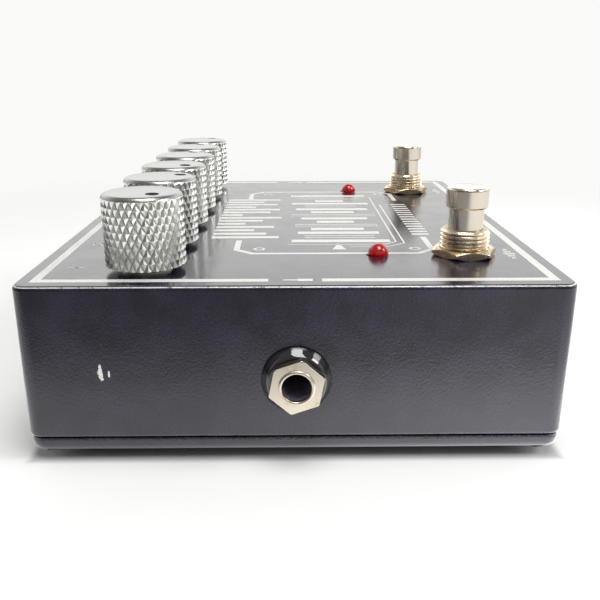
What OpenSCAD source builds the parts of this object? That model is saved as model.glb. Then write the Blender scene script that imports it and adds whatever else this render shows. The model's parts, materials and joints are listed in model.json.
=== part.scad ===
// Guitar effects pedal in a die-cast box: six knobs, two plunger footswitches, two lamps,
// a quarter-inch socket in each end and a power socket in the back wall.
// Millimetres. The origin is on the floor under the middle of the box. +X runs to the player's
// right, where the input socket is, and +Y runs away from the player, towards the knobs.

/* [Box] */
// Length of the box between its two socket ends
body_l = 146; // [144:0.5:156]
// Width of the box from the player's side to the back
body_w = 121; // [119:0.5:130]
// Height of the casting above the base plate
body_h = 35.5; // [35:0.5:42]
// Radius of the casting's upright corners
corner_r = 3.5; // [3:0.1:4]
// Thickness of the side walls
wall = 2.3; // [2:0.1:2.8]
// Thickness of the top
panel_t = 2.5; // [2.2:0.1:2.8]
// Thickness of the base plate
plate_h = 3.9; // [3.6:0.1:5]
// Height of the rubber feet
foot_h = 1.8; // [1:0.1:4]

/* [Knobs] */
// Distance between neighbouring knobs
knob_pitch = 23.4; // [22.5:0.1:23.6]
// Distance of the knob row behind the middle of the box
knob_y = 34; // [32:0.5:35]
// Diameter over the knurl
knob_d = 18.1; // [17:0.1:19]
// Height of the knob from its underside to the top of its dome
knob_h = 16.4; // [16.2:0.05:19]
// Gap between the panel and the knob's underside
knob_gap = 1.5; // [1:0.05:2]

/* [Footswitches] */
// Distance of each footswitch and lamp from the middle of the box
switch_x = 46.5; // [44:0.5:48]
// Distance of the footswitches in front of the middle of the box
switch_y = 41.3; // [40.5:0.1:42]
// Diameter of the plunger's cap
cap_d = 10.1; // [9.5:0.1:11]
// Height of the cap's top above the panel
cap_top = 17; // [15.5:0.1:18]

/* [Lamps and sockets] */
// Distance of the lamps in front of the middle of the box
lamp_y = 20.1; // [18:0.1:22]
// Depth of the quarter-inch sockets' axis below the top
jack_drop = 21.3; // [21:0.1:22]
// Diameter of the quarter-inch sockets' hole
jack_bore_d = 6.4; // [6.35:0.05:6.5]

/* [Hidden] */
knob_count = 6;
$fn = 64;

fit = 0.05;       // gap between parts that slide or turn in each other
seat = 0.1;       // gap between parts that are only held beside each other
through = 1;      // how far a cut runs past the face that it opens

// Box
z_plate = foot_h;
z_seam = foot_h + plate_h;
z_top = z_seam + body_h;
inner_l = body_l - 2 * wall;
inner_w = body_w - 2 * wall;
inner_h = body_h - panel_t;
inner_r = 2;
top_round = 1;
seam_round = 1.2;
plate_inset = 0.3;
plate_top_round = 0.8;
plate_round = 2.9;
pocket_h = 1.6;
post_x = body_l / 2 - 4.7;
post_y = body_w / 2 - 5.2;
post_r = 3.8;
foot_x = body_l / 2 - 9.9;
foot_y = body_w / 2 - 14;
foot_r = 5;

// Base screws
screw_r = 1.55;
screw_l = 11;
screw_head_r = 3.1;
screw_head_h = 1.9;

// Knobs and potentiometers, heights from the panel's top face
knob_r = knob_d / 2;
knob_top = knob_gap + knob_h;
knob_recess_r = 6.6;
knob_recess_top = 6;
knob_bore_top = 15;
dome_rise = 0.25;
dome_shoulder = 1.3;
dimple_r = 1.5;
dimple_reach = 5.2;
dimple_depth = 0.6;
// Where each pointer dimple rests, in degrees clockwise from straight back
knob_turns = [-126, 164, -136, 112, 106, 130];
set_screw_r = 1.45;
set_screw_z = 9;
set_screw_l = 4.4;
shaft_r = 3;
shaft_flat = 2.4;
shaft_top = 14.5;
pot_bushing_r = 3.45;
pot_bushing_top = 5;
pot_r = 8.2;
pot_h = 8;
pot_top = -panel_t - seat;
pot_bottom = pot_top - pot_h;
pot_nut_flats = 10;
pot_nut_h = 2;
pot_washer_r = 5.8;
pot_washer_h = 0.5;
pin_r = 0.45;

// Circuit board, heights from the panel's top face
board_top = pot_bottom - 1.2;
board_t = 1.6;
board_bottom = board_top - board_t;
board_x = body_l / 2 - 7;
board_back = body_w / 2 - 4;
board_front = -27;

// Footswitches, heights from the panel's top face
bushing_r = 5.95;
bushing_top = 6.5;
plunger_r = 4.2;
cap_bottom = 11.7;
cap_edge = 0.4;
cap_shoulder = 0.7;
cap_rise = 0.3;
switch_nut_flats = 14;
switch_nut_h = 2;
switch_nut_turn = 35;
switch_washer_h = 0.7;
switch_side = 17.2;
switch_lid_top = -panel_t - switch_washer_h - 2 * seat;
switch_lid_h = 1.2;
switch_case_top = switch_lid_top - switch_lid_h;
switch_case_h = 15;
switch_floor_h = 1.5;
switch_cavity = 14;
collar_r = 6;
collar_h = 1.5;
collar_top = switch_case_top - fit;
stem_r = 1.9;
stem_l = 7.5;
spring_coil_r = 3.4;
spring_wire_r = 0.4;
spring_turns = 6;
lug_l = 5.5;
lug_y = 4;
lug_pitch = 5;
wire_r = 0.6;
wire_loop_r = 6;

// Lamps, heights from the panel's top face
lamp_r = 2.5;
lamp_hole_r = 2.8;
lamp_aside = 0.25;
lamp_dome_z = 0.35;
lamp_flange_z = -6;
lamp_leg_gap = 1.27;

// Quarter-inch sockets, measured out from the end wall's outer face and from the axis
nose_r = 4.5;
bezel_h = 2.7;
bezel_r = 7.75;
bezel_face_r = 6.3;
jack_nut_corner_r = 6.4;
jack_nut_face_r = 6.1;
jack_nut_face = 5;
jack_lip = 1;
jack_rim_proud = 0.35;
jack_rim_r = 3.6;
jack_rim_round = 0.42;
jack_nut_turn = -11;
jack_body_w = 15.6;
jack_body_l = 24.6;
jack_sleeve_end = 11;
chamber_w = 11;
chamber_l = 14;
contact_t = 0.4;
contact_r = jack_bore_d / 2 + 0.25;

// Power socket
power_drop = 20;
power_nose_r = 5.5;
power_bore_r = 2.9;
power_bore_l = 10;
power_pin_r = 1.05;
power_l = 14;

function knob_x(i) = (i - (knob_count + 1) / 2) * knob_pitch;
function hex_r(flats) = flats / 2 / cos(30);

// ---- Shared shapes ----

// A rectangle with round corners
module round_plan(l, w, r) {
    square([l, w - 2 * r], center = true);
    square([l - 2 * r, w], center = true);
    for (sx = [-1, 1], sy = [-1, 1])
        translate([sx * (l / 2 - r), sy * (w / 2 - r)])
            circle(r);
}

// The upright section of a block's rim, from 0 inwards to deep outwards
module rim_section(deep, high, top_r, bottom_r) {
    intersection() {
        square([deep, high]);
        union() {
            translate([0, bottom_r]) square([deep, high - top_r - bottom_r]);
            square([deep - bottom_r, high / 2]);
            translate([0, high / 2]) square([deep - top_r, high / 2]);
            translate([deep - bottom_r, bottom_r]) circle(bottom_r);
            translate([deep - top_r, high - top_r]) circle(top_r);
        }
    }
}

// A block whose upright corners and whose top and bottom edges are all round
module round_block(l, w, h, r, top_r, bottom_r) {
    translate([-l / 2 + r, -w / 2 + r, 0])
        cube([l - 2 * r, w - 2 * r, h]);
    for (turn = [0, 180]) rotate(turn) {
        translate([l / 2 - r, 0, 0]) rotate([90, 0, 0])
            linear_extrude(w - 2 * r, center = true) rim_section(r, h, top_r, bottom_r);
        translate([0, w / 2 - r, 0]) rotate([90, 0, 90])
            linear_extrude(l - 2 * r, center = true) rim_section(r, h, top_r, bottom_r);
        translate([l / 2 - r, w / 2 - r, 0])
            rotate_extrude(angle = 90) rim_section(r, h, top_r, bottom_r);
        translate([-l / 2 + r, w / 2 - r, 0]) rotate(90)
            rotate_extrude(angle = 90) rim_section(r, h, top_r, bottom_r);
    }
}

// A hexagonal nut on z = 0 with chamfered corners
module hex_nut(flats, h, bore_r, chamfer_bottom = false) {
    corner = hex_r(flats);
    cut = corner - flats / 2 + 0.1;
    rise = cut * tan(30);
    low = chamfer_bottom ? rise : 0;
    difference() {
        intersection() {
            cylinder(r = corner, h = h, $fn = 6);
            rotate_extrude() polygon([
                [0, 0], [corner - (chamfer_bottom ? cut : 0), 0], [corner, low],
                [corner, h - rise], [corner - cut, h], [0, h]]);
        }
        translate([0, 0, -through]) cylinder(r = bore_r, h = h + 2 * through);
    }
}

// Half section of a round bar with a rounded shoulder and a low dome on top
module domed_section(r, top, shoulder, rise) {
    band = top - rise - shoulder;
    dome_w = r - shoulder;
    dome_r = (dome_w * dome_w + rise * rise) / (2 * rise);
    square([r, band]);
    translate([0, band]) square([dome_w, shoulder]);
    intersection() {
        translate([dome_w, band]) circle(shoulder);
        translate([0, band]) square([r, shoulder]);
    }
    intersection() {
        translate([0, band]) square([dome_w, top - band]);
        translate([0, top - dome_r]) circle(dome_r, $fn = 256);
    }
}

module ring(outer_r, inner_r, h) {
    difference() {
        cylinder(r = outer_r, h = h);
        translate([0, 0, -through]) cylinder(r = inner_r, h = h + 2 * through);
    }
}

// Puts its children on the panel's top face
module on_panel(x, y) translate([x, y, z_top]) children();

// Puts its children on a socket's axis, with z pointing out of the left or the right end wall
module on_end(side)
    translate([side * body_l / 2, 0, z_top - jack_drop]) rotate([0, side * 90, 0]) children();

// Puts its children on the power socket's axis, with z pointing out of the back wall
module on_back() translate([0, body_w / 2, z_top - power_drop]) rotate([-90, 0, 0]) children();

module at_each_knob() for (i = [1:knob_count]) on_panel(knob_x(i), knob_y) children();

module at_each_switch() for (side = [-1, 1]) on_panel(side * switch_x, -switch_y) children();

module at_corners(x, y) for (sx = [-1, 1], sy = [-1, 1]) translate([sx * x, sy * y, 0]) children();

// ---- Box ----

module enclosure() color("#1d1f2b") difference() {
    union() {
        difference() {
            translate([0, 0, z_seam])
                round_block(body_l, body_w, body_h, corner_r, top_round, seam_round);
            translate([0, 0, z_seam - through])
                linear_extrude(inner_h + through) round_plan(inner_l, inner_w, inner_r);
        }
        at_corners(post_x, post_y)
            translate([0, 0, z_seam + seam_round]) cylinder(r = post_r, h = inner_h - seam_round);
    }
    at_each_knob() translate([0, 0, -panel_t - through])
        cylinder(r = pot_bushing_r + 0.15, h = panel_t + 2 * through);
    at_each_switch() translate([0, 0, -panel_t - through])
        cylinder(r = bushing_r + 0.15, h = panel_t + 2 * through);
    for (side = [-1, 1]) on_panel(side * switch_x, -lamp_y)
        translate([0, 0, -panel_t - through]) cylinder(r = lamp_hole_r, h = panel_t + 2 * through);
    for (side = [-1, 1]) on_end(side)
        translate([0, 0, -wall - through]) cylinder(r = nose_r + 0.2, h = wall + 2 * through);
    on_back() translate([0, 0, -wall - through])
        cylinder(r = power_nose_r + 0.2, h = wall + 2 * through);
    at_corners(post_x, post_y)
        translate([0, 0, z_seam]) cylinder(r = screw_r + fit, h = screw_l);
}

module base_plate() color("#1d1f2b") difference() {
    union() {
        translate([0, 0, z_plate]) round_block(body_l - 2 * plate_inset, body_w - 2 * plate_inset,
            plate_h - fit, corner_r, plate_top_round, plate_round);
        translate([0, 0, z_seam - 0.5]) linear_extrude(2) difference() {
            round_plan(inner_l - 0.5, inner_w - 0.5, inner_r);
            round_plan(inner_l - 4, inner_w - 4, inner_r);
            at_corners(post_x, post_y) circle(post_r + 0.6);
        }
    }
    translate([0, 0, z_seam - pocket_h]) linear_extrude(pocket_h + 3) difference() {
        round_plan(inner_l - 4, inner_w - 4, inner_r);
        at_corners(post_x, post_y) circle(post_r + 2);
    }
    at_corners(post_x, post_y) {
        translate([0, 0, z_plate - through]) cylinder(r = screw_r + 0.2, h = plate_h + 2 * through);
        translate([0, 0, z_plate])
            cylinder(r1 = screw_head_r + 0.25, r2 = screw_r + 0.2, h = screw_head_h + 0.1);
    }
}

module base_screws() color("silver") at_corners(post_x, post_y) translate([0, 0, z_plate + 0.1])
    difference() {
        union() {
            cylinder(r1 = screw_head_r, r2 = screw_r, h = screw_head_h);
            cylinder(r = screw_r, h = screw_l);
        }
        for (turn = [0, 90]) rotate(turn)
            translate([0, 0, 0.2]) cube([3.6, 0.8, 2.4], center = true);
    }

module rubber_feet() color("#141414") at_corners(foot_x, foot_y) rotate_extrude() difference() {
    square([foot_r, foot_h]);
    translate([foot_r - 0.5, 0]) difference() {
        square(0.6);
        translate([0, 0.5]) circle(0.5);
    }
}

// ---- Knobs and potentiometers ----

module knob(i) color("#c9cacc") on_panel(knob_x(i), knob_y) rotate(-knob_turns[i - 1]) difference() {
    intersection() {
        rotate_extrude() domed_section(knob_r, knob_top, dome_shoulder, dome_rise);
        translate([0, 0, knob_gap]) cylinder(r = knob_d, h = knob_h);
    }
    translate([0, 0, -through]) cylinder(r = knob_recess_r, h = knob_recess_top + through);
    cylinder(r = shaft_r + fit, h = knob_bore_top);
    translate([0, 0, set_screw_z]) rotate([90, 0, 0])
        cylinder(r = set_screw_r + fit, h = knob_d);
    translate([0, dimple_reach, knob_top - dimple_depth])
        cylinder(r = dimple_r, h = through);
}

module knob_screw(i) color("#55565a")
    on_panel(knob_x(i), knob_y) rotate(-knob_turns[i - 1])
        translate([0, -shaft_flat - fit, set_screw_z]) rotate([90, 0, 0]) difference() {
            cylinder(r = set_screw_r, h = set_screw_l);
            translate([0, 0, set_screw_l - 1.6]) cylinder(r = 0.8, h = 2, $fn = 6);
        }

module pot_shaft(i) color("#b9b9b4")
    on_panel(knob_x(i), knob_y) rotate(-knob_turns[i - 1]) difference() {
        union() {
            translate([0, 0, pot_bottom + 2]) cylinder(r = shaft_r, h = shaft_top - pot_bottom - 2);
            translate([0, 0, pot_bottom + 2]) cylinder(r = pot_r - 1.6, h = 1.2);
        }
        translate([-shaft_r, -shaft_r - shaft_flat, pot_bushing_top + 1])
            cube([2 * shaft_r, shaft_r, shaft_top]);
    }

module pot(i) color("#8a8f94") on_panel(knob_x(i), knob_y) {
    difference() {
        union() {
            translate([0, 0, pot_bottom]) cylinder(r = pot_r, h = pot_h);
            translate([0, 0, pot_top - 1]) cylinder(r = pot_bushing_r, h = pot_bushing_top - pot_top + 1);
            translate([-6, -pot_r - 2.3, pot_bottom]) cube([12, 5, 2]);
        }
        translate([0, 0, pot_bottom + 1]) cylinder(r = pot_r - 0.8, h = pot_h - 2.2);
        translate([0, 0, pot_bottom + 1]) cylinder(r = shaft_r + fit, h = pot_h + 10);
    }
    for (k = [-1:1]) translate([k * 5, -pot_r - 1.2, board_bottom - 0.8])
        cylinder(r = pin_r, h = pot_bottom - board_bottom + 0.9);
}

module pot_nuts() color("#b9b9b4") at_each_knob() translate([0, 0, pot_washer_h])
    hex_nut(pot_nut_flats, pot_nut_h, pot_bushing_r + fit);

module pot_washers() color("#b9b9b4") at_each_knob() ring(pot_washer_r, pot_bushing_r + 0.15, pot_washer_h - 0.02);

// ---- Footswitches ----

module switch_case(side) color("#26303a") on_panel(side * switch_x, -switch_y) difference() {
    translate([-switch_side / 2, -switch_side / 2, switch_case_top - switch_case_h])
        cube([switch_side, switch_side, switch_case_h]);
    translate([-switch_cavity / 2, -switch_cavity / 2, switch_case_top - switch_case_h + switch_floor_h])
        cube([switch_cavity, switch_cavity, switch_case_h]);
}

module switch_bushing(side) color("#b5a88f") on_panel(side * switch_x, -switch_y) difference() {
    union() {
        translate([-switch_side / 2, -switch_side / 2, switch_case_top + fit])
            cube([switch_side, switch_side, switch_lid_h - fit]);
        translate([0, 0, switch_case_top + fit]) rotate_extrude() polygon([
            [0, 0], [bushing_r, 0], [bushing_r, bushing_top - switch_case_top - fit - 0.5],
            [bushing_r - 0.5, bushing_top - switch_case_top - fit], [0, bushing_top - switch_case_top - fit]]);
    }
    translate([0, 0, switch_case_top - through]) cylinder(r = plunger_r + fit, h = 20);
}

module switch_plunger(side) color("#c2b49c") on_panel(side * switch_x, -switch_y) {
    cap_r = cap_d / 2;
    translate([0, 0, cap_bottom]) rotate_extrude() difference() {
        domed_section(cap_r, cap_top - cap_bottom, cap_shoulder, cap_rise);
        translate([cap_r, 0]) circle(cap_edge, $fn = 4);
    }
    translate([0, 0, collar_top - collar_h]) cylinder(r = plunger_r, h = cap_bottom - collar_top + collar_h + 0.1);
    translate([0, 0, collar_top - collar_h]) cylinder(r = collar_r, h = collar_h);
    translate([0, 0, collar_top - collar_h - stem_l]) cylinder(r = stem_r, h = stem_l + 0.1);
}

// A round-wire helix from bottom to top, closed by flat ends
module coil(coil_r, wire_r, turns, bottom, top) {
    steps = 12 * turns;
    sides = 6;
    function centre(s) = [coil_r * cos(30 * s), coil_r * sin(30 * s),
        bottom + wire_r + (top - bottom - 2 * wire_r) * s / steps];
    points = [for (s = [0:steps], k = [0:sides - 1])
        let (a = 360 * k / sides)
        centre(s) + wire_r * [cos(a) * cos(30 * s), cos(a) * sin(30 * s), sin(a)]];
    faces = concat(
        [[for (k = [0:sides - 1]) k]],
        [for (s = [0:steps - 1], k = [0:sides - 1]) let (n = (k + 1) % sides)
            [s * sides + k, (s + 1) * sides + k, (s + 1) * sides + n, s * sides + n]],
        [[for (k = [sides - 1:-1:0]) steps * sides + k]]);
    polyhedron(points, faces, convexity = 10);
}

module switch_spring(side) color("#d8d8d8") on_panel(side * switch_x, -switch_y)
    coil(spring_coil_r, spring_wire_r, spring_turns,
        switch_case_top - switch_case_h + switch_floor_h + fit, collar_top - collar_h - fit);

module switch_nuts() color("#b5a88f") at_each_switch() rotate(switch_nut_turn)
    hex_nut(switch_nut_flats, switch_nut_h, bushing_r + fit, true);

module switch_washers() color("#b9b9b4") at_each_switch()
    translate([0, 0, -panel_t - seat - switch_washer_h]) ring(8, bushing_r + 0.15, switch_washer_h);

module switch_lugs() color("#d9c9a0") at_each_switch() for (k = [-1:1])
    translate([k * lug_pitch, lug_y, switch_case_top - switch_case_h - lug_l])
        difference() {
            translate([-1.1, -0.25, 0]) cube([2.2, 0.5, lug_l]);
            translate([0, 0, 1.4]) rotate([90, 0, 0]) cylinder(r = 0.6, h = 2, center = true);
        }

// Three wires that leave the lugs, turn up under the board's front edge and end on the board
module switch_wires(side) color("#b03030") on_panel(side * switch_x, -switch_y)
    for (k = [-1:1]) translate([k * lug_pitch, lug_y, 0]) {
        lug_end = switch_case_top - switch_case_h - lug_l - fit;
        loop_z = lug_end - 1;
        translate([0, 0, loop_z]) cylinder(r = wire_r, h = lug_end - loop_z);
        translate([0, wire_loop_r, loop_z]) rotate([90, 0, -90]) rotate(180)
            rotate_extrude(angle = 180) translate([wire_loop_r, 0]) circle(wire_r, $fn = 24);
        translate([0, 2 * wire_loop_r, loop_z]) cylinder(r = wire_r, h = board_bottom - fit - loop_z);
    }

// ---- Lamps ----

module lamp(side) color("#d0141c") on_panel(side * switch_x, -lamp_y - lamp_aside) rotate_extrude() {
    translate([0, lamp_flange_z]) square([lamp_r + 0.4, 1]);
    translate([0, lamp_flange_z]) square([lamp_r, lamp_dome_z - lamp_flange_z]);
    intersection() {
        translate([0, lamp_dome_z]) circle(lamp_r);
        translate([0, lamp_dome_z]) square(lamp_r);
    }
}

module lamp_legs() color("#c8c8c8") for (side = [-1, 1], k = [-1, 1])
    on_panel(side * switch_x + k * lamp_leg_gap, -lamp_y - lamp_aside)
        translate([0, 0, board_bottom - 1]) cylinder(r = 0.3, h = lamp_flange_z - fit - board_bottom + 1, $fn = 24);

// ---- Quarter-inch sockets ----

module jack_housing(side) color("#161616") on_end(side) difference() {
    union() {
        translate([0, 0, -wall - seat - 1]) cylinder(r = nose_r, h = wall + seat + 1 + jack_nut_face - jack_lip - fit);
        translate([-jack_body_w / 2, -jack_body_w / 2, -wall - seat - jack_body_l])
            cube([jack_body_w, jack_body_w, jack_body_l]);
    }
    translate([0, 0, -jack_sleeve_end - through])
        cylinder(r = jack_bore_d / 2, h = jack_sleeve_end + jack_nut_face + 2 * through);
    // The chamber opens downwards, and its roof has a slot for each contact's pin
    rotate(side * 90) translate([-chamber_w / 2, -jack_body_w, -jack_sleeve_end - chamber_l])
        cube([chamber_w, jack_body_w + chamber_w / 2, chamber_l]);
    rotate(side * 90) for (pin = [[0, -jack_sleeve_end - 10], [-contact_r - 0.6, -jack_sleeve_end - 3]])
        translate([pin[0] - 0.7, chamber_w / 2 - through, pin[1] - 0.7]) cube([1.4, 10, 1.4]);
}

module jack_bezel(side) color("#161616") on_end(side) difference() {
    rotate_extrude() polygon([[0, fit], [bezel_r, fit], [bezel_r, 0.5], [bezel_face_r + 0.2, bezel_h - 0.3],
        [bezel_face_r - 0.1, bezel_h - fit], [0, bezel_h - fit]]);
    translate([0, 0, -through]) cylinder(r = nose_r + 0.1, h = bezel_h + 2 * through);
}

module jack_nut(side) color("#cbb994") on_end(side) rotate(jack_nut_turn) difference() {
    nut_h = jack_nut_face - jack_rim_proud - bezel_h;
    union() {
        translate([0, 0, bezel_h]) intersection() {
            cylinder(r = jack_nut_corner_r, h = nut_h, $fn = 6);
            cylinder(r1 = jack_nut_face_r + nut_h * tan(60), r2 = jack_nut_face_r, h = nut_h);
        }
        rotate_extrude() translate([jack_rim_r, jack_nut_face - jack_rim_round]) circle(jack_rim_round);
    }
    cylinder(r = nose_r + fit, h = jack_nut_face - jack_lip);
    cylinder(r = jack_bore_d / 2, h = jack_nut_face + through);
}

// The tip contact above the plug and the sleeve contact beside it, each with a pin up to the board
module jack_contacts(side) color("#d9c9a0") on_end(side) rotate(side * 90) {
    pin_top = jack_drop + board_top + 0.8;
    translate([-1.5, contact_r, -jack_sleeve_end - chamber_l + 1]) cube([3, contact_t, chamber_l - 3]);
    translate([-0.6, contact_r, -jack_sleeve_end - 10.6]) cube([1.2, pin_top - contact_r, 1.2]);
    translate([-contact_r - contact_t, -2, -jack_sleeve_end - 6]) cube([contact_t, 5.5, 5]);
    translate([-contact_r - 1.2, 3, -jack_sleeve_end - 3.6]) cube([1.2, pin_top - 3, 1.2]);
}

// ---- Power socket ----

module power_jack_housing() color("#161616") on_back() difference() {
    union() {
        translate([0, 0, -wall - seat - 1]) cylinder(r = power_nose_r, h = wall + seat + 1 - 0.3);
        translate([-4.7, -power_drop - board_bottom + seat, -wall - seat - power_l])
            cube([9.4, 11.6, power_l]);
    }
    translate([0, 0, -power_bore_l - wall]) cylinder(r = power_bore_r, h = power_bore_l + wall + through);
    translate([0, 0, -wall - power_l - through]) cylinder(r = power_pin_r + fit, h = power_l);
    translate([-0.9, power_bore_r - 0.5, -power_bore_l - wall + 0.5]) cube([1.8, 1.1, power_bore_l - 2]);
}

module power_jack_contacts() color("#d9c9a0") on_back() {
    translate([0, 0, -wall - power_l - 2]) cylinder(r = power_pin_r, h = power_l);
    translate([0, 0, -wall - power_l - 1.4]) rotate([90, 0, 0]) cylinder(r = 0.5, h = power_drop + board_top + 0.8);
    translate([-0.8, power_bore_r + 0.1, -power_bore_l - wall + 0.6]) cube([1.6, 0.4, power_bore_l - 2.2]);
}

// ---- Circuit board ----

module main_board() color("#2f6b3a") on_panel(0, 0) translate([0, 0, board_bottom]) difference() {
    translate([-board_x, board_front, 0]) cube([2 * board_x, board_back - board_front, board_t]);
    for (sx = [-1, 1]) translate([sx * board_x - 4, board_back - 7, -through])
        cube([8, 8, board_t + 2 * through]);
    translate([0, 0, -through]) {
        for (i = [1:knob_count], k = [-1:1]) translate([knob_x(i) + k * 5, knob_y - pot_r - 1.2, 0])
            cylinder(r = pin_r + 0.1, h = board_t + 2 * through);
        for (side = [-1, 1], k = [-1, 1])
            translate([side * switch_x + k * lamp_leg_gap, -lamp_y - lamp_aside, 0])
            cylinder(r = 0.4, h = board_t + 2 * through);
        for (side = [-1, 1], pin = [[0, -jack_sleeve_end - 10], [-contact_r - 0.6, -jack_sleeve_end - 3]])
            translate([side * (body_l / 2 + pin[1]), side * pin[0], 0])
                cylinder(r = 1, h = board_t + 2 * through);
        translate([0, body_w / 2 - wall - power_l - 1.4, 0]) cylinder(r = 0.6, h = board_t + 2 * through);
    }
}

module under_board(x, y) on_panel(x, y) translate([0, 0, board_bottom - fit]) mirror([0, 0, 1]) children();

module chips() color("#1a1a1a") {
    under_board(0, 8) translate([-7, -7, 0]) cube([14, 14, 1.6]);
    for (k = [-2:2]) under_board(k * 15, -12) translate([-2, -2.6, 0]) cube([4, 5.2, 1.7]);
    for (k = [-1, 1]) under_board(k * 26, 10) translate([-3.2, -4.8, 0]) cube([6.4, 9.6, 3.6]);
}

module capacitors() color("#2b3c66") {
    for (k = [-3:3]) under_board(k * 10.5, -1) {
        if (k != 0) cylinder(r = 3.15, h = 7.5);
    }
    for (k = [-4:4]) under_board(k * 11, 19) translate([-3.6, -1.3, 0]) cube([7.2, 2.6, 6.4]);
}

module resistors() color("#c9a66b") for (k = [-4:4]) under_board(k * 9 + 2, -19) {
    for (s = [-1, 1]) translate([s * 3.9, 0, 0]) cylinder(r = 0.35, h = 1.6, $fn = 24);
    translate([0, 0, 1.4]) rotate([0, 90, 0]) cylinder(r = 0.3, h = 8.4, center = true, $fn = 24);
    translate([0, 0, 1.4]) rotate([0, 90, 0]) cylinder(r = 1.15, h = 5.8, center = true);
}

enclosure();
base_plate();
base_screws();
rubber_feet();
for (i = [1:knob_count]) {
    knob(i);
    knob_screw(i);
    pot_shaft(i);
    pot(i);
}
pot_nuts();
pot_washers();
switch_case(-1);  // left_switch_case
switch_bushing(-1);  // left_switch_bushing
switch_plunger(-1);  // left_switch_plunger
switch_spring(-1);  // left_switch_spring
switch_case(1);  // right_switch_case
switch_bushing(1);  // right_switch_bushing
switch_plunger(1);  // right_switch_plunger
switch_spring(1);  // right_switch_spring
switch_nuts();
switch_washers();
switch_lugs();
switch_wires(-1);  // left_switch_wires
switch_wires(1);  // right_switch_wires
lamp(-1);  // left_lamp
lamp(1);  // right_lamp
lamp_legs();
jack_housing(-1);  // output_jack_housing
jack_bezel(-1);  // output_jack_bezel
jack_nut(-1);  // output_jack_nut
jack_contacts(-1);  // output_jack_contacts
jack_housing(1);  // input_jack_housing
jack_bezel(1);  // input_jack_bezel
jack_nut(1);  // input_jack_nut
jack_contacts(1);  // input_jack_contacts
power_jack_housing();
power_jack_contacts();
main_board();
chips();
capacitors();
resistors();
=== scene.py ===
"""Looks of the guitar effects pedal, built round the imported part. Metres, in the part's own frame."""
import json
import math

import bmesh
import bpy
from mathutils import Matrix, Vector


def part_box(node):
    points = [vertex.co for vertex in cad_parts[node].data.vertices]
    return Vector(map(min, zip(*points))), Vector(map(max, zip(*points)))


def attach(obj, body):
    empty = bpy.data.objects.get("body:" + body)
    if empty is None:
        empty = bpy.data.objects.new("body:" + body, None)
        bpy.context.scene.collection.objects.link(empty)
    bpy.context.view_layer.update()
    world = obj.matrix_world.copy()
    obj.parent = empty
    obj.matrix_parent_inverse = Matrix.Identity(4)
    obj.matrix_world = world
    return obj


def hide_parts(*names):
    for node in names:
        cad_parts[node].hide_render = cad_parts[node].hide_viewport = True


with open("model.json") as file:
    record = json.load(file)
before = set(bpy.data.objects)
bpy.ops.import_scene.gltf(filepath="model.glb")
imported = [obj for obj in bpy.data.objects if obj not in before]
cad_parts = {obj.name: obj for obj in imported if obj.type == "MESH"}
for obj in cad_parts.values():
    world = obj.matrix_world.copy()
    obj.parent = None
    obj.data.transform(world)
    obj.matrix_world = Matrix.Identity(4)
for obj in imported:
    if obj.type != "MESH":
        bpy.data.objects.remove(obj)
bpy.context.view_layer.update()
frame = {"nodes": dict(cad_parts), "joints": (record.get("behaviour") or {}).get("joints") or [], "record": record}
nodes = frame["nodes"]
joints = {j["name"]: j for j in frame["joints"]}
MM = 0.001
HALF_X, HALF_Y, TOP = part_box("enclosure")[1]
NEAR_WALL_X = -HALF_X
SEAM_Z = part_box("base_plate")[1].z
SWITCH_X, SWITCH_Y = (sum(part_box("right_switch_bushing"), Vector()) / 2).xy
# Where each pointer dimple rests, in degrees clockwise from straight back
TURNS = [-126, 164, -136, 112, 106, 130]


# ---- Materials ----

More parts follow.
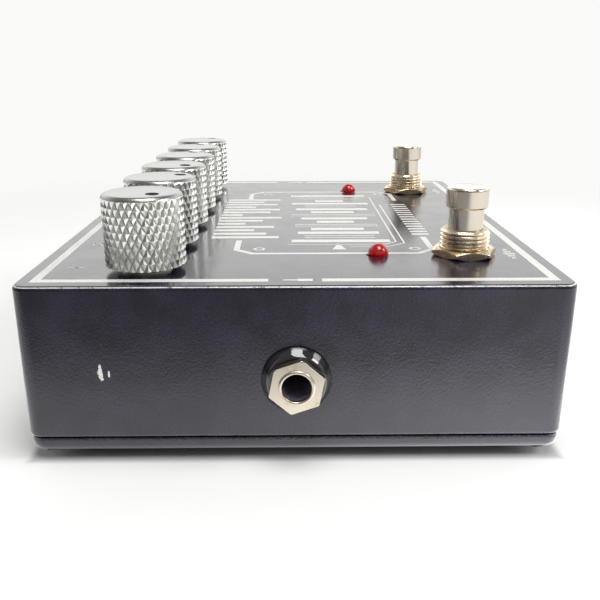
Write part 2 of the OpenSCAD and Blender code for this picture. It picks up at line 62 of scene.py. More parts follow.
class Look:
    """A principled material whose textures are in the piece's own coordinates, in metres."""

    def __init__(self, name, **values):
        self.mat = bpy.data.materials.new(name)
        self.mat.use_nodes = True
        self.tree = self.mat.node_tree
        self.bsdf = self.tree.nodes["Principled BSDF"]
        where = self.tree.nodes.new("ShaderNodeTexCoord")
        self.place, self.facing = where.outputs["Object"], where.outputs["Normal"]
        self.fill(self.bsdf, values)

    def fill(self, node, values):
        for key, value in values.items():
            socket = node.inputs[key]
            if isinstance(value, bpy.types.NodeSocket):
                self.tree.links.new(value, socket)
            elif isinstance(value, tuple) and socket.type == "RGBA":
                socket.default_value = (*value, 1)
            else:
                socket.default_value = value

    def add(self, kind, values, **settings):
        node = self.tree.nodes.new(kind)
        for key, value in settings.items():
            setattr(node, key, value)
        self.fill(node, values)
        return node

    def noise(self, size, detail=2.0, rough=0.5):
        values = {"Vector": self.place, "Scale": 1 / size, "Detail": detail, "Roughness": rough}
        return self.add("ShaderNodeTexNoise", values).outputs[0]

    def cells(self, size, smooth=False, place=None):
        values = {"Vector": place or self.place, "Scale": 1 / size}
        if smooth:
            values["Smoothness"] = 0.7
        return self.add("ShaderNodeTexVoronoi", values, feature="SMOOTH_F1" if smooth else "F1")

    def mix(self, factor, a, b):
        return self.add("ShaderNodeMix", {0: factor, 2: a, 3: b}, data_type="FLOAT").outputs[0]

    def ramp(self, value, low, high, start=0.0, end=1.0):
        return self.add("ShaderNodeMapRange", {
            0: value, 1: low, 2: high, 3: start, 4: end}, interpolation_type="SMOOTHSTEP").outputs[0]

    def math(self, operation, a, b=0.0):
        return self.add("ShaderNodeMath", {0: a, 1: b}, operation=operation).outputs[0]

    def blend(self, factor, a, b):
        return self.add("ShaderNodeMix", {0: factor, 6: a, 7: b}, data_type="RGBA").outputs[2]

    def split(self, vector):
        return self.add("ShaderNodeSeparateXYZ", {0: vector}).outputs

    def length(self, vector):
        return self.add("ShaderNodeVectorMath", {0: vector}, operation="LENGTH").outputs["Value"]

    def from_axis(self):
        """Distance from the piece's own upright axis."""
        x, y, _ = self.split(self.place)
        return self.math("SQRT", self.math("ADD", self.math("MULTIPLY", x, x), self.math("MULTIPLY", y, y)))

    def moved(self, offset, scale=(1, 1, 1), turn=(0, 0, 0)):
        return self.add("ShaderNodeMapping", {
            "Vector": self.place, "Location": offset, "Rotation": turn, "Scale": scale}).outputs[0]

    def bump(self, height, strength, distance, normal=None):
        values = {"Height": height, "Strength": strength, "Distance": distance}
        if normal is not None:
            values["Normal"] = normal
        return self.add("ShaderNodeBump", values).outputs[0]

    def patch(self, centre, half):
        """1 at the centre of an ellipsoid, 0 on its surface and outside."""
        scale = tuple(1 / h for h in half)
        offset = tuple(-c / h for c, h in zip(centre, half))
        return self.math("SUBTRACT", 1.0, self.length(self.moved(offset, scale)))


def plain(name, colour, rough, metallic=0.0, grain=0.4, relief=0.02, mark=0.25, **more):
    """A finish with fine grain, faint relief and a little uneven wear."""
    look = Look(name, Metallic=metallic, **more)
    wide = look.noise(grain * 12 * MM, 3)
    fine = look.noise(grain * MM, 2)
    dark = tuple(c * (1 - mark) for c in colour)
    look.fill(look.bsdf, {
        "Base Color": look.blend(look.ramp(wide, 0.35, 0.65), dark, colour),
        "Roughness": look.ramp(look.math("ADD", wide, fine), 0.7, 1.3, rough * 0.75, rough * 1.3),
        "Normal": look.bump(fine, 0.5, relief * MM)})
    return look.mat


def coat_look():
    """Powder coat with a leathery skin, dust specks, two chips in the near wall and a painted highlight along its
    edges.
    """
    look = Look("black_coat", IOR=1.5)
    steep = look.split(look.facing)[2]
    up = look.ramp(steep, 0.5, 0.95)
    peel = look.cells(0.6 * MM, smooth=True).outputs["Distance"]
    fine = look.noise(0.32 * MM, 2, 0.6)
    wide = look.noise(9 * MM, 3)
    height = look.math("ADD", look.math("MULTIPLY", peel, 0.9), fine)
    dust_cells = look.cells(2.4 * MM)
    near = look.ramp(dust_cells.outputs["Distance"], 0.055, 0.02)
    some = look.ramp(look.split(dust_cells.outputs["Color"])[0], 0.93, 0.94)
    dust = look.math("MULTIPLY", near, some)
    ragged = look.math("MULTIPLY", look.math("SUBTRACT", look.noise(0.5 * MM, 3), 0.5), 1.2)
    chip = look.patch((NEAR_WALL_X, 42.45 * MM, TOP - 19.5 * MM), (4 * MM, 0.8 * MM, 2.2 * MM))
    keep = look.patch((NEAR_WALL_X, 41.9 * MM, TOP - 19.1 * MM), (4 * MM, 0.7 * MM, 1.9 * MM))
    small = look.patch((NEAR_WALL_X, 40.8 * MM, TOP - 19.8 * MM), (4 * MM, 0.26 * MM, 1.0 * MM))
    chip = look.math("SUBTRACT", look.math("ADD", chip, ragged), look.math("MAXIMUM", keep, 0.0))
    small = look.math("ADD", small, ragged)
    bare = look.math("MAXIMUM", look.ramp(chip, 0.12, 0.2), look.ramp(small, 0.12, 0.2))
    # Painted highlight: a thin pale line, broken up by noise, on the top edge's rounding and below the seam on the
    # base plate's edge, picked out by how far the surface faces up
    painted_edge_highlight = look.math("MULTIPLY", look.ramp(steep, 0.6, 0.7), look.ramp(steep, 0.88, 0.8))
    painted_plate_highlight = look.math("MULTIPLY", look.ramp(steep, 0.4, 0.55), look.ramp(steep, 0.9, 0.8))
    below = look.ramp(look.split(look.place)[2], SEAM_Z + 0.1 * MM, SEAM_Z)
    broken = look.ramp(look.noise(1.3 * MM, 4, 0.7), 0.3, 0.5)
    painted_edge_highlight = look.math("MULTIPLY", look.mix(below, painted_edge_highlight, painted_plate_highlight), broken)
    mottle = look.ramp(look.math("ADD", wide, fine), 0.75, 1.25)
    colour = look.blend(mottle, (0.003, 0.0022, 0.009), (0.014, 0.0125, 0.027))
    # The painted edge highlight is laid over the coat as a pale grey
    colour = look.blend(painted_edge_highlight, colour, (0.52, 0.51, 0.5))
    colour = look.blend(look.math("MULTIPLY", dust, 0.8), colour, (0.5, 0.48, 0.46))
    look.fill(look.bsdf, {
        "Base Color": look.blend(bare, colour, (0.66, 0.64, 0.6)),
        "Roughness": look.ramp(look.math("ADD", fine, wide), 0.7, 1.3, 0.14, 0.24),
        "Normal": look.bump(height, look.ramp(up, 0, 1, 1, 0.22), 0.035 * MM)})
    return look.mat


def knob_look():
    """Chrome, with painted shade: darker in the knurl's grooves, and much darker on the dome."""
    look = Look("knob_chrome", Metallic=1.0)
    # Painted shade: inside a noisy radius the knurl's grooves get a darker chrome colour than its crests
    grime_and_shade_wobble = look.math("MULTIPLY", look.noise(1.5 * MM, 3), 0.12 * MM)
    fine = look.noise(0.25 * MM, 2)
    crest = look.ramp(look.math("ADD", look.from_axis(), grime_and_shade_wobble), 8.64 * MM, 8.82 * MM)
    on_top = look.ramp(look.split(look.place)[2], 16.7 * MM, 16.8 * MM)
    colour = look.blend(crest, (0.5, 0.5, 0.47), (0.76, 0.76, 0.73))
    # Painted shade: the dome and its shoulder get a far darker colour than the knurl, holding down their bright
    # reflection of the light overhead
    look.fill(look.bsdf, {
        "Base Color": look.blend(on_top, colour, (0.275, 0.275, 0.275)),
        "Roughness": look.math("ADD", look.ramp(on_top, 0, 1, 0.26, 0.22), look.math("MULTIPLY", fine, 0.1)),
        "Normal": look.bump(fine, 0.35, 0.012 * MM)})
    return look.mat


def nickel_look(name, colour, rough, grain, stained):
    """Nickel plating with brown stains, fewer as stained rises."""
    look = Look(name, Metallic=1.0)
    wide = look.noise(3.5 * MM, 4, 0.6)
    fine = look.noise(grain * MM, 3)
    stain = look.ramp(look.math("ADD", wide, look.math("MULTIPLY", fine, 0.35)), stained, stained + 0.2)
    brown = tuple(c * f for c, f in zip(colour, (0.74, 0.66, 0.48)))
    look.fill(look.bsdf, {
        "Base Color": look.blend(stain, colour, brown),
        "Roughness": look.ramp(look.math("ADD", stain, fine), 0.3, 1.5, rough, rough + 0.15),
        "Normal": look.bump(fine, 0.3, 0.006 * MM)})
    return look.mat


def thread_look(name, colour):
    """Nickel on a turned thread, with brown grime down in its grooves."""
    look = Look(name, Metallic=1.0)
    grime_and_shade_wobble = look.math("MULTIPLY", look.noise(0.5 * MM, 4, 0.7), 0.9 * MM)
    fine = look.noise(0.2 * MM, 3, 0.7)
    clean = look.ramp(look.math("SUBTRACT", look.from_axis(), grime_and_shade_wobble), 4.7 * MM, 5.1 * MM)
    look.fill(look.bsdf, {
        "Base Color": look.blend(clean, (0.5, 0.42, 0.28), colour),
        "Roughness": look.ramp(clean, 0, 1, 0.45, 0.18),
        "Normal": look.bump(fine, 0.5, 0.02 * MM)})
    return look.mat


def lamp_look():
    """A tinted lens that lets some light through."""
    look = Look("red_lamp", **{"IOR": 1.54, "Transmission Weight": 0.55})
    wide = look.noise(2 * MM, 2)
    look.fill(look.bsdf, {
        "Base Color": look.blend(look.ramp(wide, 0.3, 0.7), (0.62, 0.006, 0.01), (0.76, 0.012, 0.018)),
        "Roughness": look.ramp(wide, 0.3, 0.7, 0.02, 0.06)})
    return look.mat


def board_look():
    """Green solder mask with copper tracks showing through."""
    look = Look("board_laminate", IOR=1.5)
    tracks = look.cells(2.6 * MM, place=look.moved((0, 0, 0), (1, 0.25, 0))).outputs["Distance"]
    fine = look.noise(0.3 * MM)
    copper = look.ramp(tracks, 0.42, 0.46)
    look.fill(look.bsdf, {
        "Base Color": look.blend(copper, (0.012, 0.1, 0.035), (0.02, 0.17, 0.06)),
        "Roughness": look.ramp(fine, 0.2, 0.8, 0.25, 0.45),
        "Normal": look.bump(look.math("ADD", copper, look.math("MULTIPLY", fine, 0.2)), 0.4, 0.03 * MM)})
    return look.mat


looks = {
    "black_coat": coat_look(),
    "screw_steel": plain("screw_steel", (0.5, 0.5, 0.48), 0.35, 1.0, 0.3),
    "foot_rubber": plain("foot_rubber", (0.02, 0.02, 0.02), 0.75, 0.0, 0.5, 0.06),
    "knob_chrome": knob_look(),
    "pot_metal": plain("pot_metal", (0.55, 0.54, 0.5), 0.35, 1.0, 0.3),
    "switch_plastic": plain("switch_plastic", (0.02, 0.035, 0.06), 0.45, 0.0, 0.3),
    "switch_nickel": nickel_look("switch_nickel", (0.64, 0.55, 0.44), 0.2, 0.5, 0.54),
    "contact_brass": plain("contact_brass", (0.75, 0.6, 0.32), 0.3, 1.0, 0.3),
    "wire_cover": plain("wire_cover", (0.5, 0.03, 0.03), 0.4, 0.0, 0.5),
    "red_lamp": lamp_look(),
    "socket_plastic": plain("socket_plastic", (0.02, 0.02, 0.022), 0.35, 0.0, 0.4),
    "bezel_plastic": plain("bezel_plastic", (0.006, 0.006, 0.008), 0.06, 0.0, 0.8, 0.003, IOR=1.7),
    "socket_nickel": nickel_look("socket_nickel", (0.44, 0.4, 0.335), 0.28, 0.3, 0.7),
    "board_laminate": board_look(),
    "chip_plastic": plain("chip_plastic", (0.02, 0.02, 0.02), 0.5, 0.0, 0.2, 0.03),
    "capacitor_sleeve": plain("capacitor_sleeve", (0.03, 0.05, 0.16), 0.3, 0.0, 0.5),
    "resistor_body": plain("resistor_body", (0.55, 0.38, 0.18), 0.4, 0.0, 0.4),
}
housing_plastic = plain("housing_plastic", (0.17, 0.15, 0.21), 0.35)
clean_nickel = nickel_look("clean_nickel", (0.56, 0.505, 0.43), 0.14, 0.5, 0.95)
thread_nickel = thread_look("thread_nickel", (0.82, 0.72, 0.57))
slot_of = {p["node"]: p["material_slot"] for p in frame["record"]["subparts"]}
own_looks = {f"{side}_switch_plunger": clean_nickel for side in ("left", "right")}
own_looks.update({f"{side}put_jack_housing": housing_plastic for side in ("in", "out")})
for name, piece in nodes.items():
    piece.data.materials.clear()
    piece.data.materials.append(own_looks.get(name) or looks[slot_of[name]])


# ---- Pieces ----

def new_piece(name, mesh, body, look, place=(0, 0, 0), turn=0.0):
    piece = bpy.data.objects.new(name, mesh)
    bpy.context.scene.collection.objects.link(piece)
    piece.matrix_world = Matrix.Translation(place) @ Matrix.Rotation(math.radians(turn), 4, "Z")
    if not mesh.materials:
        mesh.materials.append(look)
    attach(piece, body)
    return piece


def mesh_of(name, verts, faces, smooth_under=30):
    mesh = bpy.data.meshes.new(name)
    mesh.from_pydata(verts, [], faces)
    shape = bmesh.new()
    shape.from_mesh(mesh)
    bmesh.ops.remove_doubles(shape, verts=shape.verts, dist=1e-7)
    bmesh.ops.dissolve_degenerate(shape, dist=1e-7, edges=shape.edges)
    bmesh.ops.recalc_face_normals(shape, faces=shape.faces)
    shape.to_mesh(mesh)
    shape.free()
    soften(mesh, smooth_under)
    return mesh


def soften(mesh, under):
    mesh.polygons.foreach_set("use_smooth", [under > 0] * len(mesh.polygons))
    if under:
        mesh.set_sharp_from_angle(angle=math.radians(under))


def at(radius, angle, z):
    return (radius * math.cos(angle) * MM, radius * math.sin(angle) * MM, z * MM)


def cylinder_mesh(name, radius, low, high, turn, place):
    """A closed cylinder along Z, then turned and placed."""
    sides = 48
    verts = [at(radius, 2 * math.pi * k / sides, z) for z in (low, high) for k in range(sides)]
    faces = [[k, (k + 1) % sides, sides + (k + 1) % sides, sides + k] for k in range(sides)]
    faces += [list(range(sides))[::-1], list(range(sides, 2 * sides))]
    mesh = mesh_of(name, verts, faces)
    mesh.transform(Matrix.Translation(place) @ turn)
    return mesh


# Knob, in millimetres from the panel's top face: diamonds in relief, a smooth shoulder and a low dome
STARTS, ROWS = 32, 9
CREST_R, VALLEY_R, CREST_SHARE = 9.05, 8.6, 0.24
LOW_Z, HIGH_Z, TOP_Z = 1.5, 16.6, 17.9
SHOULDER, SHOULDER_Z, DOME_R, DOME_RISE = 1.3, 16.35, 7.75, 0.25
UNDERSIDE_R, RECESS_R, RECESS_Z, BORE_R, BORE_Z = 8.2, 6.6, 6, 3.05, 15
DIMPLE_R, DIMPLE_REACH, DIMPLE_DEPTH = 1.5, 5.2, 0.6
SCREW_HOLE_R, SCREW_HOLE_Z = 1.5, 9


def knob_mesh():
    verts, faces = [], []
    step = 2 * math.pi / STARTS
    rise = (HIGH_Z - LOW_Z) / ROWS

    def point(radius, angle, z):
        verts.append(at(radius, angle, z))
        return len(verts) - 1

    ends = {0: [], ROWS: []}
    for row in range(ROWS + 1):
        for k in range(STARTS):
            mid, z = (k + row % 2 / 2) * step, LOW_Z + row * rise
            side, inner = step / 2, step / 2 * CREST_SHARE
            left, right = point(VALLEY_R, mid - side, z), point(VALLEY_R, mid + side, z)
            left_in, right_in = point(CREST_R, mid - inner, z), point(CREST_R, mid + inner, z)
            halves = []
            for way in (-1, 1):
                if 0 <= row + way <= ROWS:
                    tip = point(VALLEY_R, mid, z + way * rise)
                    tip_in = point(CREST_R, mid, z + way * rise * CREST_SHARE)
                    faces.append([left, tip, tip_in, left_in])
                    faces.append([tip, right, right_in, tip_in])
                    halves.append(tip_in)
            if len(halves) == 2:
                faces.append([left_in, halves[0], right_in, halves[1]])
            else:
                faces.append([left_in, right_in, halves[0]])
            if row in ends:
                ends[row].append((mid - side, mid - inner, mid + inner, left, left_in, right_in, right))

    def shoulder(degrees):
        angle = math.radians(degrees)
        return DOME_R + SHOULDER * math.cos(angle), SHOULDER_Z + SHOULDER * math.sin(angle)

    def ring(radius, z, row):
        return [[point(radius, a, z) for a in cut[:3]] for cut in ends[row]]

    def join(a, b):
        flat_a, flat_b = [v for g in a for v in g], [v for g in b for v in g]
        for k in range(len(flat_a)):
            n = (k + 1) % len(flat_a)
            faces.append([flat_a[k], flat_a[n], flat_b[n], flat_b[k]])

    def skirt(row, loop):
        for k, cut in enumerate(ends[row]):
            here, after = loop[k], loop[(k + 1) % STARTS]
            faces.append([here[0], here[1], cut[4], cut[3]])
            faces.append([here[1], here[2], cut[5], cut[4]])
            faces.append([here[2], after[0], cut[6], cut[5]])

    loop = ring(*shoulder(18), ROWS)
    skirt(ROWS, loop)
    sections = [shoulder(a) for a in (30, 42, 54, 66, 78)]
    curve = (DOME_R ** 2 + DOME_RISE ** 2) / (2 * DOME_RISE)
    sections += [(r, TOP_Z - curve + math.sqrt(curve ** 2 - r ** 2))
                 for r in (DOME_R, 7, 6, 5, 4, 2.6, 1.2)]
    for radius, z in sections:
        further = ring(radius, z, ROWS)
        join(loop, further)
        loop = further
    faces.append([v for g in loop for v in g])
    loop = ring(UNDERSIDE_R, LOW_Z, 0)
    skirt(0, loop)
    for radius, z in ((RECESS_R, LOW_Z), (RECESS_R, RECESS_Z), (BORE_R, RECESS_Z), (BORE_R, BORE_Z)):
        further = ring(radius, z, 0)
        join(loop, further)
        loop = further
    faces.append([v for g in loop for v in g])
    mesh = mesh_of("knurled_knob", verts, faces, 0)
    # The pointer dimple and the set screw's hole are cut out
    body = bpy.data.objects.new("knob_body", mesh)
    bpy.context.scene.collection.objects.link(body)
    sideways = Matrix.Rotation(math.radians(90), 4, "X")
    cutters = [
        cylinder_mesh("dimple", DIMPLE_R, -DIMPLE_DEPTH, 2, Matrix.Identity(4),
                      (0, DIMPLE_REACH * MM, TOP_Z * MM)),
        cylinder_mesh("hole", SCREW_HOLE_R, 2.7, 12, sideways, (0, 0, SCREW_HOLE_Z * MM))]
    tools = []
    for cutter in cutters:
        tool = bpy.data.objects.new("cutter", cutter)
        bpy.context.scene.collection.objects.link(tool)
        cut = body.modifiers.new("cut", "BOOLEAN")
        cut.operation, cut.solver, cut.object = "DIFFERENCE", "EXACT", tool
        tools.append(tool)
    bpy.context.view_layer.update()
    made = bpy.data.meshes.new_from_object(body.evaluated_get(bpy.context.evaluated_depsgraph_get()))
    for thing in (body, *tools):
        bpy.data.objects.remove(thing)
    made.name = "knurled_knob"
    # Smooth over the dome and shoulder, sharp between the knurl's facets
    soften(made, 19)
    return made


knurled = knob_mesh()
for i, turn in enumerate(TURNS, 1):
    centre = joints[f"knob_{i}_turn"]["pos_m"]
    knob = new_piece(f"knurled_knob_{i}", knurled, f"knob_{i}", looks["knob_chrome"],
                     (centre[0], centre[1], TOP), -turn)
    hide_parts(f"knob_{i}")


# Footswitch bushing, from the panel's top face: a helical thread on a tube that stands on a square lid
def bushing_mesh():
    pitch, around, per_turn = 1.0, 72, 10
    low, high, crest, root, bore = -4.6, 6.5, 5.95, 5.42, 4.25
    # The thread's height over one pitch, from root to crest
    shape = [0, 0, 0.25, 0.75, 1, 1, 1, 0.75, 0.25, 0]
    turns = int((high - low) / pitch) + 2
    count = turns * per_turn
    verts, faces = [], []
    for i in range(around + 1):
        for j in range(count + 1):
            z = low - pitch + (j / per_turn + i / around) * pitch
            z = min(max(z, low), high)
            radius = root + (crest - root) * shape[j % per_turn]
            radius = min(radius, crest - max(0, z - (high - 0.5)) * 1.1)
            verts.append(at(radius, 2 * math.pi * i / around, z))
    for i in range(around):
        for j in range(count):
            a = i * (count + 1) + j
            faces.append([a, a + count + 1, a + count + 2, a + 1])
    mesh = mesh_of("thread", verts, faces, 0)
    # Ends and bore close the tube
    shell = bmesh.new()
    shell.from_mesh(mesh)
    bmesh.ops.remove_doubles(shell, verts=shell.verts, dist=2e-6)
    open_edges = [e for e in shell.edges if e.is_boundary]
    for z_end in (low, high):
        rim = [e for e in open_edges if abs(e.verts[0].co.z - z_end * MM) < 1e-6]
        made = bmesh.ops.extrude_edge_only(shell, edges=rim)["geom"]
        for v in (v for v in made if isinstance(v, bmesh.types.BMVert)):
            v.co.xy = v.co.xy.normalized() * bore * MM
    inner = [e for e in shell.edges if e.is_boundary]
    bmesh.ops.bridge_loops(shell, edges=inner)
    bmesh.ops.recalc_face_normals(shell, faces=shell.faces)
    shell.to_mesh(mesh)
    shell.free()
    soften(mesh, 40)
    return mesh


def lid_mesh():
    half, hole, low, high, sides = 8.6, 5.5, -4.55, -3.45, 48
    outline = []
    for k in range(sides):
        a = 2 * math.pi * k / sides
        reach = half / max(abs(math.cos(a)), abs(math.sin(a)))
        outline.append((reach * math.cos(a), reach * math.sin(a)))
    verts = [(x * MM, y * MM, z * MM) for z in (low, high) for x, y in outline]
    verts += [at(hole, 2 * math.pi * k / sides, z) for z in (low, high) for k in range(sides)]
    faces = []
    for k in range(sides):
        n = (k + 1) % sides
        under_k, under_n, over_k, over_n = (2 * sides + k, 2 * sides + n, 3 * sides + k, 3 * sides + n)
        faces += [[k, n, sides + n, sides + k], [under_n, under_k, over_k, over_n],
                  [sides + k, sides + n, over_n, over_k], [n, k, under_k, under_n]]
    return mesh_of("switch_lid", verts, faces)


thread, lid = bushing_mesh(), lid_mesh()
for side, sign in (("left", -1), ("right", 1)):
    place = (sign * SWITCH_X, SWITCH_Y, TOP)
    tube = new_piece(f"{side}_threaded_bushing", thread, "pedal", thread_nickel, place)
    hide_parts(f"{side}_switch_bushing")
    new_piece(f"{side}_switch_lid", lid, "pedal", looks["switch_nickel"], place)

# Small rounds on the edges that catch the light
for name, width in (("switch_nuts", 0.12), ("output_jack_nut", 0.15), ("input_jack_nut", 0.15),
                    ("output_jack_bezel", 0.12), ("input_jack_bezel", 0.12)):
    weld = nodes[name].modifiers.new("join", "WELD")
    weld.merge_threshold = 1e-6
    edge = nodes[name].modifiers.new("round", "BEVEL")
    edge.width, edge.segments, edge.limit_method = width * MM, 3, "ANGLE"
    edge.angle_limit = math.radians(25)


# ---- Print on the panel ----

paint = Look("panel_print", IOR=1.5)
wear = paint.noise(0.35 * MM, 3)
paint.fill(paint.bsdf, {
    "Base Color": paint.blend(paint.ramp(wear, 0.25, 0.6), (0.36, 0.36, 0.345), (0.52, 0.52, 0.5)),
    "Roughness": paint.ramp(wear, 0.3, 0.7, 0.35, 0.5),
    "Normal": paint.bump(wear, 0.3, 0.01 * MM)})


class Print:
    """Flat painted shapes, each a thin closed prism on the panel. Sizes in millimetres."""

    UNDERSIDE, FACE = 0.004, 0.022

    def __init__(self):
        self.verts, self.faces = [], []

    def prism(self, points):
        base = len(self.verts)
        n = len(points)
        for z in (self.UNDERSIDE, self.FACE):
            self.verts += [(x * MM, y * MM, TOP + z * MM) for x, y in points]
        for k in range(n):
            after = (k + 1) % n
            self.faces.append([base + k, base + after, base + n + after, base + n + k])
        self.faces += [[base + k for k in range(n)][::-1], [base + n + k for k in range(n)]]

    def bar(self, x0, y0, x1, y1):
        self.prism([(x0, y0), (x1, y0), (x1, y1), (x0, y1)])

    def line(self, points, width):
        """A run of straight strokes of one width with mitred corners."""
        pts = [Vector(p) for p in points]
        left, right = [], []
        for k, p in enumerate(pts):
            before = (p - pts[k - 1]).normalized() if k else (pts[1] - p).normalized()
            after = (pts[k + 1] - p).normalized() if k + 1 < len(pts) else before
            way = (before + after).normalized()
            out = Vector((-way.y, way.x)) * (width / 2 / max(0.3, way.dot(after)))
            left.append(p + out)
            right.append(p - out)
        for k in range(len(pts) - 1):
            self.prism([left[k], right[k], right[k + 1], left[k + 1]])

    def ring(self, x, y, radius, width):
        sides = 28
        for k in range(sides):
            a, b = 2 * math.pi * k / sides, 2 * math.pi * (k + 1) / sides
            self.prism([(x + r * math.cos(t), y + r * math.sin(t))
                        for r, t in ((radius, a), (radius, b), (radius - width, b), (radius - width, a))])

    def numeral(self, digit, x, y, size):
        """A plain seven-stroke numeral, read from the player's side."""
        w, h, t = size * 0.55, size, size * 0.14
        strokes = {"a": (0, h, w, h), "b": (w, h / 2, w, h), "c": (w, 0, w, h / 2), "d": (0, 0, w, 0),
                   "e": (0, 0, 0, h / 2), "f": (0, h / 2, 0, h), "g": (0, h / 2, w, h / 2)}
        parts = {1: "bc", 2: "abged", 3: "abgcd", 4: "fgbc", 5: "afgcd", 6: "afgedc"}[digit]
        for part in parts:
            x0, y0, x1, y1 = strokes[part]
            self.bar(x + x0 - w / 2 - t / 2, y + y0 - t / 2, x + x1 - w / 2 + t / 2, y + y1 + t / 2)

    def piece(self, name):
        return new_piece(name, mesh_of(name, self.verts, self.faces, 0), "pedal", paint.mat)


# Border, with a gap in each end
OUT_X, IN_X, OUT_Y, IN_Y = 69.5, 67.3, 57.2, 55.2
GAP_LOW, GAP_HIGH = -5.6, 6.0
border = Print()
for s in (-1, 1):
    border.bar(-OUT_X, s * IN_Y, OUT_X, s * OUT_Y)
    border.bar(s * OUT_X, GAP_HIGH, s * IN_X, IN_Y)
    border.bar(s * OUT_X, -IN_Y, s * IN_X, GAP_LOW)
border.piece("print_border")

# A plug pictogram in each gap of the border, a numeral behind each knob, ticks before each footswitch
PLUG_X, NUMERAL_Y, TICKS_Y = 68.3, 48.6, -52.6
marks = Print()
for s in (-1, 1):
    plug = s * PLUG_X
    marks.bar(plug - 0.9, -3.6, plug + 0.9, -0.4)
    marks.bar(plug - 0.4, -0.4, plug + 0.4, 2.2)
    marks.prism([(plug - 0.4, 2.2), (plug + 0.4, 2.2), (plug, 3.2)])
for k in range(1, 7):
    marks.numeral(k, joints[f"knob_{k}_turn"]["pos_m"][0] / MM, NUMERAL_Y, 3.2)
for s in (-1, 1):
    for k, tall in enumerate((1.0, 1.9, 2.8, 1.9, 1.0)):
        left = s * SWITCH_X / MM - 4.4 + k * 2
        marks.bar(left, TICKS_Y - tall / 2, left + 1, TICKS_Y + tall / 2)
marks.piece("print_marks")

# A chamfered frame, open in the middle of its long sides, with a circle in each corner
frame_lines = Print()
for s in (-1, 1):
    frame_lines.line([(s * 31, 14.7), (s * 41.4, 14.7), (s * 45.2, 10.6), (s * 45.2, -30.6),
                      (s * 41.2, -34.6), (s * 27.5, -34.6)], 1.5)
    frame_lines.ring(s * 40.5, 9.0, 1.5, 0.6)
    frame_lines.ring(s * 40.5, -30.3, 1.5, 0.6)
frame_lines.piece("print_frame")

# Bars of uneven length: a row that hangs from one line, and a row about a middle line, where every
# third bar is a pair of thin ones
HANG_Y, MIDDLE_Y = 22.3, -12.2
bars = Print()
hanging = [18, 14.5, 11, 16.5, 8, 13, 18.5, 6.5, 15, 18, 10, 17, 12.5, 18]
for k, long in enumerate(hanging):
    x = -28.6 + k * 4.35
    bars.bar(x, HANG_Y - long, x + 2.5, HANG_Y)
centred = [26, 19, 22.5, 15, 24, 11, 20, 26, 13.5, 23, 17, 25.5, 9.5, 21, 26]
for k, long in enumerate(centred):
    x = -33.4 + k * 4.9
    low, high = MIDDLE_Y - long / 2, MIDDLE_Y + long / 2
    if k % 3 == 1:
        bars.bar(x, low, x + 0.7, high)
        bars.bar(x + 2.3, low, x + 3.0, high)
    else:
        bars.bar(x, low, x + 3.0, high)
bars.piece("print_bars")

# Two thin bent lines, an arrowhead and a row of short ticks
thin = Print()
thin.line([(-36, 2), (-36, -23), (-33, -26.6), (34, -26.6)], 0.45)
thin.line([(-38.2, -14), (-38.2, -24.4), (-34.4, -28.6), (20, -28.6)], 0.45)
thin.prism([(-41.3, -9.4), (-41.3, -13.0), (-34.6, -11.2)])
for k in range(14):
    thin.bar(-25 + k * 3.4, -37.0, -23.4 + k * 3.4, -32.2)
thin.piece("print_lines")


# ---- Surroundings ----

def floor():
    """Pale paper that runs on into the backdrop, with a painted shadow under the object. What it throws back on to
    the object is a painted pool of light:
    bright near the object and on its right, fading away in front and on its left, as under one overhead lamp, and
    a painted glow in a band round the object's foot, strongest on its right."""
    mesh = bpy.data.meshes.new("floor")
    mesh.from_pydata([(-3, -3, 0), (3, -3, 0), (3, 3, 0), (-3, 3, 0)], [], [(0, 1, 2, 3)])
    piece = bpy.data.objects.new("floor", mesh)
    bpy.context.scene.collection.objects.link(piece)
    look = Look("floor_paper", Roughness=0.9)
    x, y, z = look.split(look.place)
    seen = look.add("ShaderNodeLightPath", {}).outputs["Is Camera Ray"]
    grain = look.noise(0.02, 3)
    paper = look.blend(grain, (0.7, 0.7, 0.695), (0.72, 0.72, 0.715))
    horizon = look.ramp(look.length(look.place), 0.16, 0.42)
    in_front = look.math("MULTIPLY", look.ramp(x, -0.098, -0.16), look.ramp(y, -0.13, 0.03))
    away = look.math("MAXIMUM", in_front, look.ramp(y, 0.14, 0.4))
    # Painted pool of light: for all but camera rays the paper is pale near the object and dark in front and on its
    # left
    thrown = look.blend(away, (0.8, 0.8, 0.795), (0.3, 0.3, 0.31))
    gap = look.math("MAXIMUM", look.math("SUBTRACT", look.math("ABSOLUTE", x), HALF_X),
                    look.math("SUBTRACT", look.math("ABSOLUTE", y), HALF_Y))
    # Painted shadow: the paper seen by the camera is darker under the object
    paper = look.blend(look.ramp(gap, -0.001, 0.0015), (0.42, 0.42, 0.425), paper)
    shown = look.blend(horizon, paper, (0, 0, 0))
    # Painted glow: for all but camera rays the paper gives off light in a band round the object's foot, stronger
    # on its right
    glow = look.math("MULTIPLY", look.ramp(gap, -0.005, -0.001), look.ramp(gap, 0.075, 0.02))
    glow = look.math("MULTIPLY", glow, look.ramp(y, 0.05, -0.07, 0.65, 2.3))
    look.fill(look.bsdf, {
        "Base Color": look.blend(seen, thrown, shown),
        "Emission Strength": look.mix(seen, glow, look.math("MULTIPLY", horizon, 0.955)),
        "Emission Color": (1, 1, 0.99),
        "Specular IOR Level": 0})
    mesh.materials.append(look.mat)


def softbox(name, place, aim, size, power):
    light = bpy.data.lights.new(name, "AREA")
    light.shape, light.size, light.size_y = "RECTANGLE", *size
    light.energy = power
    lamp = bpy.data.objects.new(name, light)
    bpy.context.scene.collection.objects.link(lamp)
    lamp.location = place
    lamp.rotation_euler = (Vector(aim) - Vector(place)).to_track_quat("-Z", "Y").to_euler()


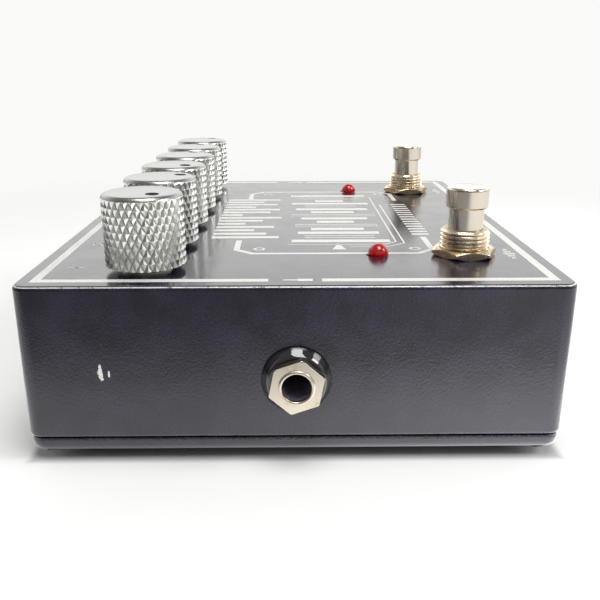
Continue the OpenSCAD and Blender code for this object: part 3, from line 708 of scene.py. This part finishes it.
def room():
    """Soft light all round: weak from behind the camera, strong from beyond the object, dimmer overhead and
    at the horizon."""
    world = bpy.data.worlds.new("room")
    bpy.context.scene.world = world
    world.use_nodes = True
    tree = world.node_tree
    tree.nodes.clear()

    def add(kind, values, **settings):
        node = tree.nodes.new(kind)
        for key, value in settings.items():
            setattr(node, key, value)
        for key, value in values.items():
            if isinstance(value, bpy.types.NodeSocket):
                tree.links.new(value, node.inputs[key])
            else:
                node.inputs[key].default_value = value
        return node

    way = add("ShaderNodeTexCoord", {}).outputs["Generated"]
    x, y, z = add("ShaderNodeSeparateXYZ", {0: way}).outputs

    def ramp(value, low, high, start, end):
        return add("ShaderNodeMapRange", {0: value, 1: low, 2: high, 3: start, 4: end},
                   interpolation_type="SMOOTHSTEP").outputs[0]

    def combine(operation, a, b):
        return add("ShaderNodeMath", {0: a, 1: b}, operation=operation).outputs[0]

    sides = combine("ADD", ramp(y, 0.3, 0.95, 0.0, -0.35), ramp(y, -0.3, -0.95, 0.0, 0.15))
    level = combine("ADD", ramp(x, -0.7, 0.8, 0.35, 1.9), sides)
    overhead = ramp(z, 0.45, 0.8, 0.0, 1.0)
    strength = add("ShaderNodeMix", {0: overhead, 2: level, 3: 0.4}, data_type="FLOAT").outputs[0]
    strength = combine("MULTIPLY", strength, ramp(z, 0.08, 0.28, 0.62, 1.0))
    backdrop = ramp(z, 0.0, 0.25, 0.955, 0.925)
    around = add("ShaderNodeBackground", {"Color": (1, 0.995, 0.965, 1), "Strength": strength})
    behind = add("ShaderNodeBackground", {"Color": (1, 1, 0.99, 1), "Strength": backdrop})
    seen = add("ShaderNodeLightPath", {}).outputs["Is Camera Ray"]
    mixed = add("ShaderNodeMixShader", {0: seen, 1: around.outputs[0], 2: behind.outputs[0]})
    add("ShaderNodeOutputWorld", {"Surface": mixed.outputs[0]})


def camera():
    tilt, yaw = math.radians(17.99), math.radians(-0.853)
    forward = Vector((math.cos(tilt) * math.cos(yaw), math.cos(tilt) * math.sin(yaw), -math.sin(tilt)))
    right = forward.cross(Vector((0, 0, 1))).normalized()
    up = right.cross(forward)
    place = Vector((-217.9 * MM, 1.39 * MM, TOP + 44.04 * MM))
    data = bpy.data.cameras.new("camera")
    data.lens, data.sensor_width = 43.3, 36
    data.clip_start, data.clip_end = 0.01, 20
    eye = bpy.data.objects.new("camera", data)
    bpy.context.scene.collection.objects.link(eye)
    turn = Matrix((right, up, -forward)).transposed().to_4x4()
    eye.matrix_world = Matrix.Translation(place) @ turn
    bpy.context.scene.camera = eye


floor()
softbox("overhead", (-0.25, -0.1, 0.85), (-0.1, -0.02, 0), (0.42, 0.62), 7)
softbox("window", (-0.2, -0.75, 0.6), (-0.05, 0, 0.02), (0.3, 0.3), 3.5)
room()
camera()
bpy.context.scene.view_settings.view_transform = "Standard"
